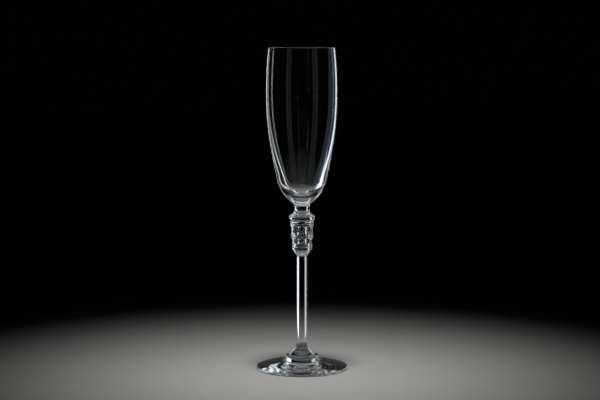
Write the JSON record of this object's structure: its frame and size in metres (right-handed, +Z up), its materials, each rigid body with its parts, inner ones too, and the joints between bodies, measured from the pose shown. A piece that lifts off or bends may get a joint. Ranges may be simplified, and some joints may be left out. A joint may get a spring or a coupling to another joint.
{
  "type": "champagne flute",
  "caption": "Tall crystal champagne flute: slender tapered bowl with a thick base, short neck and collar, olive-cut knop, plain rod stem and flared button on a round foot.",
  "frame": {"origin": "on the glass's own axis, in the plane of the ring that the foot stands on", "axes": "+Z up along the stem towards the rim; the glass is turned about Z, so +X and +Y are alike apart from where the olive cuts lie"},
  "size_m": [0.066, 0.066, 0.23],
  "materials": {
    "crystal": "polished"
  },
  "bodies": {
    "root": {"foot": "crystal", "button": "crystal", "flare": "crystal", "stem": "crystal", "knop": "crystal", "collar": "crystal", "neck": "crystal", "bowl": "crystal"}
  },
  "joints": []
}
